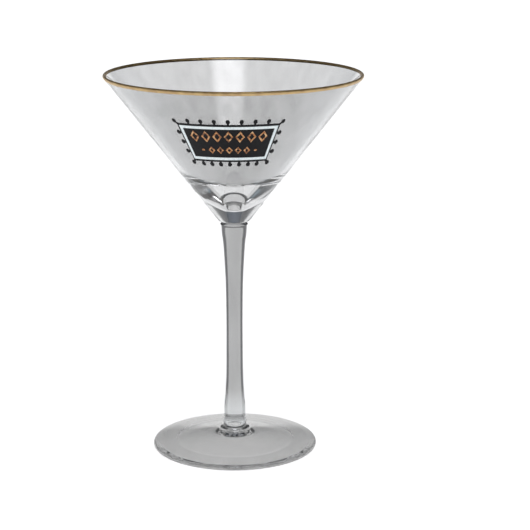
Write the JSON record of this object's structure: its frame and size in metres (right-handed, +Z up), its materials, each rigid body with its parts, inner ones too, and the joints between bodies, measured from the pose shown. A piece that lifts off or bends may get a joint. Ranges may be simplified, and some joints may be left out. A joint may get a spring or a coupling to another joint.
{
  "type": "martini glass",
  "caption": "Stemmed cocktail glass with a cone-shaped bowl, a slim stem, a round foot, a gilded lip and an enamel badge on the bowl.",
  "frame": {"origin": "centre of the ring on the foot's underside that the glass stands on", "axes": "+Z up along the glass's axis, from the foot to the rim; the badge on the bowl faces -Y"},
  "size_m": [0.1212, 0.1212, 0.1808],
  "materials": {
    "bowl_glass": "clear, fire-polished",
    "stem_glass": "clear, fire-polished",
    "foot_glass": "clear, fire-polished",
    "gilding": "fired gold, softly polished",
    "black_enamel": "fired enamel, satin",
    "white_enamel": "fired enamel, satin",
    "copper_enamel": "metallic enamel, satin"
  },
  "bodies": {
    "root": {"bowl": "bowl_glass", "stem": "stem_glass", "foot": "foot_glass", "rim_gilding": "gilding", "badge_ground": "black_enamel", "badge_line": "white_enamel", "ornament_upper_1": "copper_enamel", "ornament_upper_2": "copper_enamel", "ornament_upper_3": "copper_enamel", "ornament_upper_4": "copper_enamel", "ornament_upper_5": "copper_enamel", "ornament_upper_6": "copper_enamel", "ornament_upper_7": "copper_enamel", "ornament_lower_1": "copper_enamel", "ornament_lower_2": "copper_enamel", "ornament_lower_3": "copper_enamel", "ornament_lower_4": "copper_enamel", "ornament_lower_5": "copper_enamel", "ornament_dot_left": "copper_enamel", "ornament_dot_right": "copper_enamel"}
  },
  "joints": []
}
